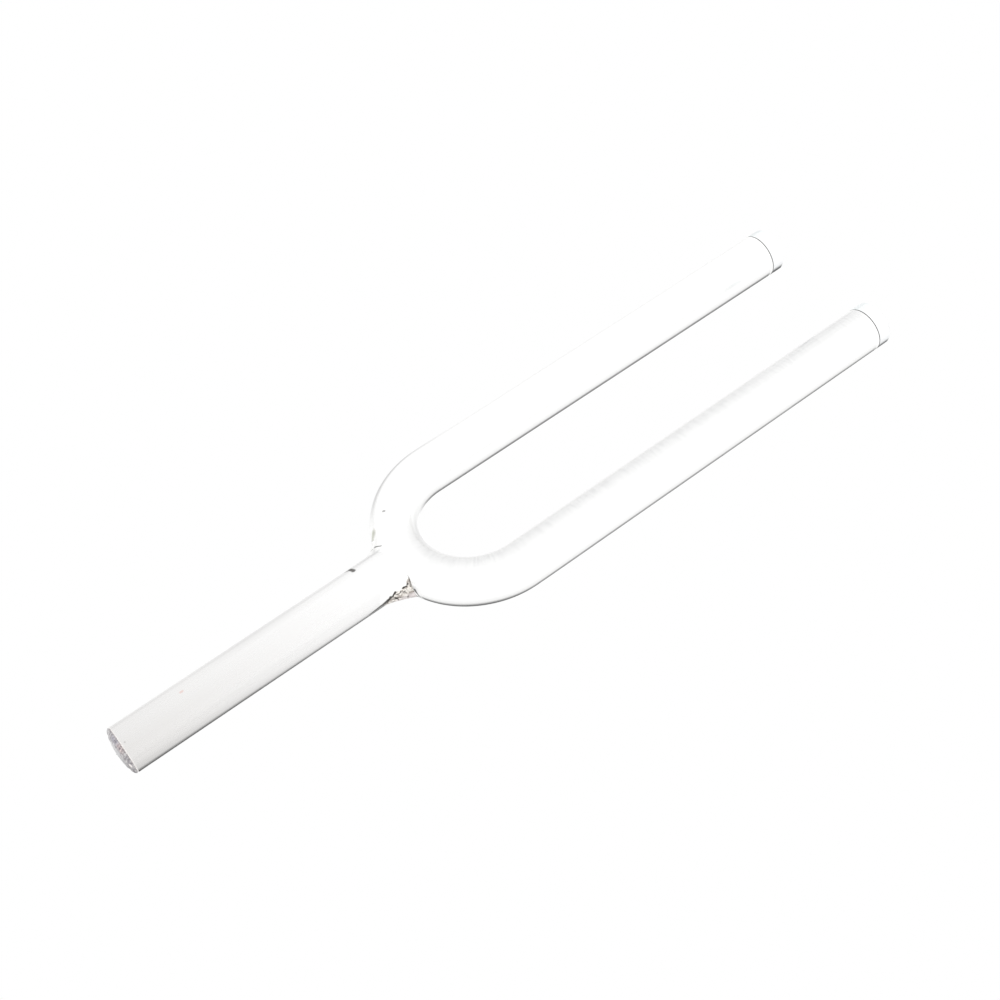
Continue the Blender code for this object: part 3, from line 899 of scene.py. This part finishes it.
def faced_aluminium():
    """Turned plug: painted cool shade on the far side, a dark strip of painted shade low on the near
    side, the dark line of the joint, and an end face with rings from the lathe."""
    nodes = Nodes.of_material("tine_plug_metal")
    rings = nodes.noise((5200.0, 260.0, 260.0), 3.0)
    clouds = nodes.noise((260.0, 260.0, 260.0), 2.0)
    turned = nodes.remap(rings, 0.35, 0.65)
    colour = nodes.mix(turned, *PLUG_METAL)
    x, y, z = nodes.parts(nodes.place)
    # Painted shade, cool-tinted, on the plug's far (+Y) side.
    far_shaded_side = nodes.remap(y, -0.1 * TUBE_RADIUS, 0.7 * TUBE_RADIUS)
    colour = nodes.tint(colour, PLUG_FAR_PAINTED_SHADE, far_shaded_side)
    # Painted shade: a dark strip low on the near side of the land, where the metal would mirror the
    # contact shadow.
    on_land = nodes.remap(x, TIP_X - PLUG_CHAMFER, TIP_X - 2 * PLUG_CHAMFER)
    near_shaded_side = nodes.remap(y, 0.0, -0.2 * TUBE_RADIUS)
    lower = nodes.remap(z, -0.10 * TUBE_RADIUS, -0.32 * TUBE_RADIUS)
    not_under = nodes.remap(z, -0.95 * TUBE_RADIUS, -0.75 * TUBE_RADIUS)
    shade_strip = nodes.product(on_land, near_shaded_side, lower, not_under)
    colour = nodes.tint(colour, PLUG_SHADE_STRIP, shade_strip)
    joint_line = [TINE_END_X + distance for distance in JOINT_LINE]
    joint = nodes.remap(x, *joint_line, 1.0, 0.0)
    colour = nodes.mix(joint, colour, SOOT_AND_SHADE)
    phase = nodes.product(nodes.hypot(y, z), 2 * math.pi / FACING_STEP)
    facing = nodes.math("SINE", phase)
    faced = nodes.mix(nodes.remap(facing, -1.0, 1.0), *PLUG_FACE)
    end_face = nodes.remap(x, TIP_X - 0.00010, TIP_X - 0.00004)
    colour = nodes.mix(end_face, colour, faced)
    roughness = nodes.remap(clouds, 0.35, 0.7, 0.20, 0.28)
    return nodes.finish(colour, roughness, rings, 0.000008, 0.4)


def dressed_aluminium():
    """The stem plug's dome: dressed by hand in short strokes, bright in the middle, darker
    and tinted towards its rim."""
    nodes = Nodes.of_material("stem_plug_metal")
    grain = nodes.noise((2400.0, 2400.0, 2400.0), 4.0, 0.65)
    patches = nodes.noise((300.0, 300.0, 300.0), 3.0)
    strokes = nodes.noise((900.0, 1900.0, 600.0), 3.0)
    glints = nodes.noise((1500.0, 2600.0, 900.0), 2.0)
    y, z = nodes.parts(nodes.place)[1:]
    reach = nodes.hypot(y, z)
    rim = nodes.remap(reach, 0.50 * TUBE_RADIUS, 0.82 * TUBE_RADIUS, smooth=True)
    patchy = nodes.remap(patches, 0.40, 0.60)
    colour = nodes.mix(patchy, *DOME_PATCHES)
    blue = (foot_rim_point(92), foot_rim_point(104))
    colour = nodes.stain(colour, DOME_BLUE, 0.7, *blue, 0.0015, blur=0.8)
    rose = (foot_rim_point(116), foot_rim_point(122))
    colour = nodes.stain(colour, DOME_ROSE, 0.7, *rose, 0.0012, blur=0.8)
    colour = nodes.mix(nodes.remap(strokes, 0.46, 0.60, 0.0, 0.85), colour, DOME_STROKE)
    colour = nodes.mix(nodes.remap(glints, 0.60, 0.70, 0.0, 0.8), colour, DOME_GLINT)
    glint = (foot_rim_point(166), foot_rim_point(170))
    colour = nodes.stain(colour, DOME_RIM_GLINT, 0.8, *glint, 0.0005)
    colour = nodes.mix(nodes.remap(rim, 0.0, 1.0, 0.45, 1.0), DOME_MIDDLE, colour)
    roughness = nodes.remap(grain, 0.3, 0.7, 0.35, 0.6)
    half = nodes.remap(rim, 0.0, 1.0, 0.2, 0.35)
    return nodes.finish(colour, roughness, grain, 0.00006, 0.7, half)


# ---------------------------------------------------------------- studio

CAMERA_AIM = (-0.00017, -0.0005)
CAMERA_DISTANCE = 0.4976
CAMERA_AZIMUTH = -29.61
CAMERA_ELEVATION = 50.84
CAMERA_ROLL = -9.97
CAMERA_LENS = 54.84

# The surround as the metal mirrors it; levels are shares of white.  A shadow keeps its third
# number of the light up to its first distance, and is gone at its second.  A stem share scales
# the distance from the stem, at the foot and at the joint.
SKY_LEVEL = 1.17
SKY_HORIZON = 0.77
SKY_RISE = 0.55
SKY_DARK_SIDE = Vector((-0.4, 0.9, 0.0))
FLOOR_LEVEL = 1.11
SHADOW_SHIFT = (0.02 * TUBE_RADIUS, 0.17 * TUBE_RADIUS)
SHADOW_CORE = (0.95 * TUBE_RADIUS, 1.45 * TUBE_RADIUS, 0.15)
SHADOW_EDGE = (1.0 * TUBE_RADIUS, 2.8 * TUBE_RADIUS, 0.85)
STEM_CORE_SHARE = (0.91, 1.02)
STEM_EDGE_SHARE = (0.72, 1.15)
FAR_SIDE = 0.90
FAR_SIDE_Y = (BEND_RADIUS + 1.5 * TUBE_RADIUS, BEND_RADIUS + 4 * TUBE_RADIUS)
MIRROR_REACH = (2.0 * TUBE_RADIUS, 3.5 * TUBE_RADIUS)

# A darker and a brighter spot on the floor: centre, radii between which it fades, level.
DUSK_CENTRE = (BEND_X - 0.009, 0.055)
DUSK_RADII = (0.012, 0.036)
DUSK_LEVEL = 0.66
GLOW_CENTRE = (BEND_X - 0.0132, 0.0105)
GLOW_RADII = (0.005, 0.015)

# The backdrop: cosines of the angles off the photo's line of sight, and the pale floor.
WHITE_WITHIN = math.cos(math.radians(26))
PALE_BEYOND = math.cos(math.radians(42))
PALE = 0.74

FLOOR_HALF = 3.0


def white_floor():
    """A white, glowing studio floor.  The camera sees the backdrop; the metal close over it
    mirrors the contact shadow, which draws the dark lower edges of the tubes."""
    corners = [(-FLOOR_HALF, -FLOOR_HALF, 0), (FLOOR_HALF, -FLOOR_HALF, 0)]
    corners += [(FLOOR_HALF, FLOOR_HALF, 0), (-FLOOR_HALF, FLOOR_HALF, 0)]
    mesh = bpy.data.meshes.new("floor")
    mesh.from_pydata(corners, [], [(0, 1, 2, 3)])
    floor = bpy.data.objects.new("floor", mesh)
    bpy.context.scene.collection.objects.link(floor)
    nodes = Nodes.of_material("floor_white", "ShaderNodeEmission")
    camera_ray = nodes.light_path("Is Camera Ray")
    far = nodes.remap(nodes.light_path("Ray Length"), *MIRROR_REACH)
    mirrored_again = nodes.remap(nodes.light_path("Ray Depth"), 1.0, 2.0)
    bright = nodes.math("MAXIMUM", far, mirrored_again)
    bright = nodes.math("MAXIMUM", nodes.light_path("Is Diffuse Ray"), bright)
    spot = nodes.tree.nodes.new("ShaderNodeNewGeometry")
    x, y = nodes.parts(spot.outputs["Position"])[:2]
    shaded = nodes.product(soft_shadow(nodes, x, y), PALE)
    seen = backdrop(nodes, spot.outputs["Incoming"], camera_back(), shaded)
    light = nodes.math("MAXIMUM", bright, contact_shadow(nodes, x, y))
    shade = nodes.math("MAXIMUM", mirrored_again, far_shade(nodes, x, y))
    light = nodes.product(light, shade, FLOOR_LEVEL, nodes.rest(camera_ray))
    strength = nodes.math("ADD", nodes.product(camera_ray, seen), light)
    nodes.link(strength, nodes.shader.inputs["Strength"])
    mesh.materials.append(nodes.material)


def far_shade(nodes, x, y):
    """The metal mirrors the floor on the +Y side a little darker, most so beside the bend."""
    beyond = nodes.remap(y, *FAR_SIDE_Y, 1.0, FAR_SIDE)
    from_dusk = from_spot(nodes, x, y, DUSK_CENTRE)
    dusk = nodes.remap(from_dusk, *DUSK_RADII, DUSK_LEVEL, 1.0, smooth=True)
    return nodes.product(beyond, dusk)


def backdrop(nodes, direction, sight, pale):
    """What the camera sees of the surround: blown out along the photo's line of sight, pale
    grey from the other sides, where the white metal would be lost against white."""
    along = nodes.vector("DOT_PRODUCT", direction, sight)
    blown_out = nodes.remap(along, PALE_BEYOND, WHITE_WITHIN, smooth=True)
    return nodes.math("ADD", blown_out, nodes.product(nodes.rest(blown_out), pale))


def soft_shadow(nodes, x, y):
    """Light that an even sky leaves on the floor beside a tube lying on it."""
    square = nodes.math("POWER", nodes.math("MINIMUM", *from_tubes(nodes, x, y)), 2.0)
    return nodes.math("DIVIDE", square, nodes.math("ADD", square, TUBE_RADIUS ** 2))


def from_spot(nodes, x, y, spot):
    """Distance on the floor from a spot."""
    return nodes.hypot(*(nodes.math("SUBTRACT", *pair) for pair in zip((x, y), spot)))


def from_tubes(nodes, x, y):
    """Distances on the floor from the centre lines of the fork and of the stem."""
    behind_bend = nodes.math("MINIMUM", nodes.math("SUBTRACT", x, BEND_X), 0.0)
    past_tips = nodes.math("MAXIMUM", nodes.math("SUBTRACT", x, TIP_X), 0.0)
    from_arc = nodes.math("SUBTRACT", nodes.hypot(behind_bend, y), BEND_RADIUS)
    from_fork = nodes.hypot(from_arc, past_tips)
    past_joint = nodes.math("MAXIMUM", nodes.math("SUBTRACT", x, JOINT_X), 0.0)
    past_foot = nodes.math("MAXIMUM", nodes.math("SUBTRACT", STEM_END_X, x), 0.0)
    from_stem = nodes.hypot(nodes.hypot(past_joint, past_foot), y)
    return from_fork, from_stem


def contact_shadow(nodes, x, y):
    """Light left on the floor near the fork: low under the tubes, 1 far from them and in a
    glow inside the bend."""
    x = nodes.math("SUBTRACT", x, SHADOW_SHIFT[0])
    y = nodes.math("SUBTRACT", y, SHADOW_SHIFT[1])
    from_fork, from_stem = from_tubes(nodes, x, y)
    shadow = 1.0
    for (dark_to, light_from, depth), (foot_share, joint_share) in (
        (SHADOW_CORE, STEM_CORE_SHARE),
        (SHADOW_EDGE, STEM_EDGE_SHARE),
    ):
        share = nodes.remap(x, STEM_END_X, JOINT_X, foot_share, joint_share)
        distance = nodes.math("MINIMUM", from_fork, nodes.product(from_stem, share))
        layer = nodes.remap(distance, dark_to, light_from, depth, 1.0, smooth=True)
        shadow = nodes.product(shadow, layer)
    from_glow = from_spot(nodes, x, y, GLOW_CENTRE)
    glow = nodes.remap(from_glow, *GLOW_RADII, 1.0, 0.0, smooth=True)
    return nodes.math("MAXIMUM", shadow, glow)


def soft_sky():
    """An even white surround, mirrored darker towards the horizon on the far side of the fork.
    The camera sees the backdrop instead."""
    world = bpy.data.worlds.new("studio")
    bpy.context.scene.world = world
    world.use_nodes = True
    nodes = Nodes(world.node_tree)
    background = nodes.tree.nodes["Background"]
    background.inputs["Color"].default_value = (1.0, 1.0, 1.0, 1.0)
    direction = nodes.tree.nodes.new("ShaderNodeTexCoord").outputs["Generated"]
    height = nodes.parts(direction)[2]
    low = nodes.remap(height, 0.0, SKY_RISE, 1.0, 0.0, smooth=True)
    behind = nodes.remap(nodes.vector("DOT_PRODUCT", direction, SKY_DARK_SIDE), 0.0, 0.9)
    once = nodes.remap(nodes.light_path("Ray Depth"), 1.0, 2.0, 1.0, 0.0)
    dark = nodes.product(low, behind, once)
    level = nodes.remap(dark, 0.0, 1.0, SKY_LEVEL, SKY_LEVEL * SKY_HORIZON)
    camera_ray = nodes.light_path("Is Camera Ray")
    light = nodes.product(nodes.rest(camera_ray), level)
    seen = nodes.product(camera_ray, backdrop(nodes, direction, -camera_back(), PALE))
    nodes.link(nodes.math("ADD", seen, light), background.inputs["Strength"])


def camera_back():
    """Direction from the fork to the camera of the photo's view."""
    azimuth = math.radians(CAMERA_AZIMUTH)
    elevation = math.radians(CAMERA_ELEVATION)
    return Vector((
        math.sin(azimuth) * math.cos(elevation),
        -math.cos(azimuth) * math.cos(elevation),
        math.sin(elevation),
    ))


def make_camera():
    """The photo's viewing angle."""
    back = camera_back()
    data = bpy.data.cameras.new("camera")
    data.lens = CAMERA_LENS
    data.clip_start = 0.01
    camera = bpy.data.objects.new("camera", data)
    aim = Vector((*CAMERA_AIM, AXIS_HEIGHT))
    level = (-back).to_track_quat("-Z", "Y").to_matrix().to_4x4()
    roll = Matrix.Rotation(math.radians(CAMERA_ROLL), 4, "Z")
    camera.matrix_world = Matrix.Translation(aim + back * CAMERA_DISTANCE) @ level @ roll
    bpy.context.scene.collection.objects.link(camera)
    bpy.context.scene.camera = camera


# ---------------------------------------------------------------- the scene

make_fork_tube(fork_aluminium())
make_stem_tube(stem_aluminium())
make_weld(weld_aluminium())
plug_metal = faced_aluminium()
make_tine_plug("tine_plug_left_skin", "tine_plug_left", 1.0, plug_metal)
make_tine_plug("tine_plug_right_skin", "tine_plug_right", -1.0, plug_metal)
make_stem_plug(dressed_aluminium())

white_floor()
soft_sky()
make_camera()
bpy.context.scene.view_settings.view_transform = "Standard"
